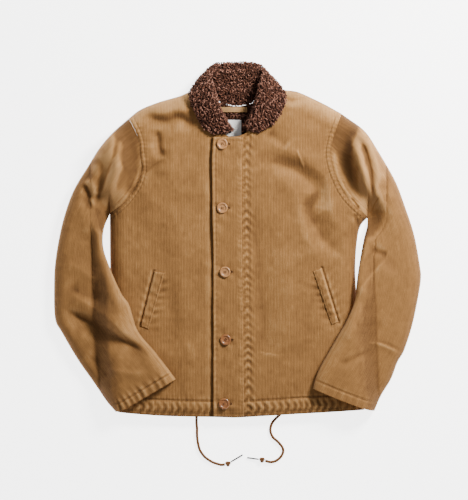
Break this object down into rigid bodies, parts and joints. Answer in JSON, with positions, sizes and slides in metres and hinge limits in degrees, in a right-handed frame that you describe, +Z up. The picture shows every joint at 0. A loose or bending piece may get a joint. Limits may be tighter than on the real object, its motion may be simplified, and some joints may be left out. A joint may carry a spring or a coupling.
{
  "type": "deck jacket",
  "caption": "Button-front deck jacket laid flat on its back, with set-in sleeves over its hem, a rolled pile collar, slanted pockets and the free ends of a hem drawstring.",
  "frame": {"origin": "under the middle of the jacket, on the surface that it lies on; the drawstring's ends don't count", "axes": "+Z up off the surface, +Y from hem to collar, +X across the jacket to the wearer's left sleeve"},
  "size_m": [0.7703, 0.8476, 0.0681],
  "materials": {
    "cloth": "corded cotton, tan, matt",
    "pile": "dark brown curly pile",
    "tape": "tan cotton twill tape",
    "label": "plain white satin weave",
    "button": "amber, rimmed, satin",
    "cord": "brown braided cotton",
    "tip": "black, smooth"
  },
  "bodies": {
    "root": {"back": "cloth", "front_right": "cloth", "front_left": "cloth", "wind_flap": "cloth", "sleeve_top_right": "cloth", "sleeve_under_right": "cloth", "sleeve_top_left": "cloth", "sleeve_under_left": "cloth", "collar": "pile", "neck_lining": "pile", "hanger_loop": "tape", "neck_label": "label", "pocket_welt_right": "cloth", "pocket_welt_left": "cloth", "button_1": "button", "button_2": "button", "button_3": "button", "button_4": "button", "button_5": "button", "drawstring_right": "cord", "drawstring_left": "cord", "knot_right": "cord", "knot_left": "cord", "aglet_right": "tip", "aglet_left": "tip"}
  },
  "joints": []
}
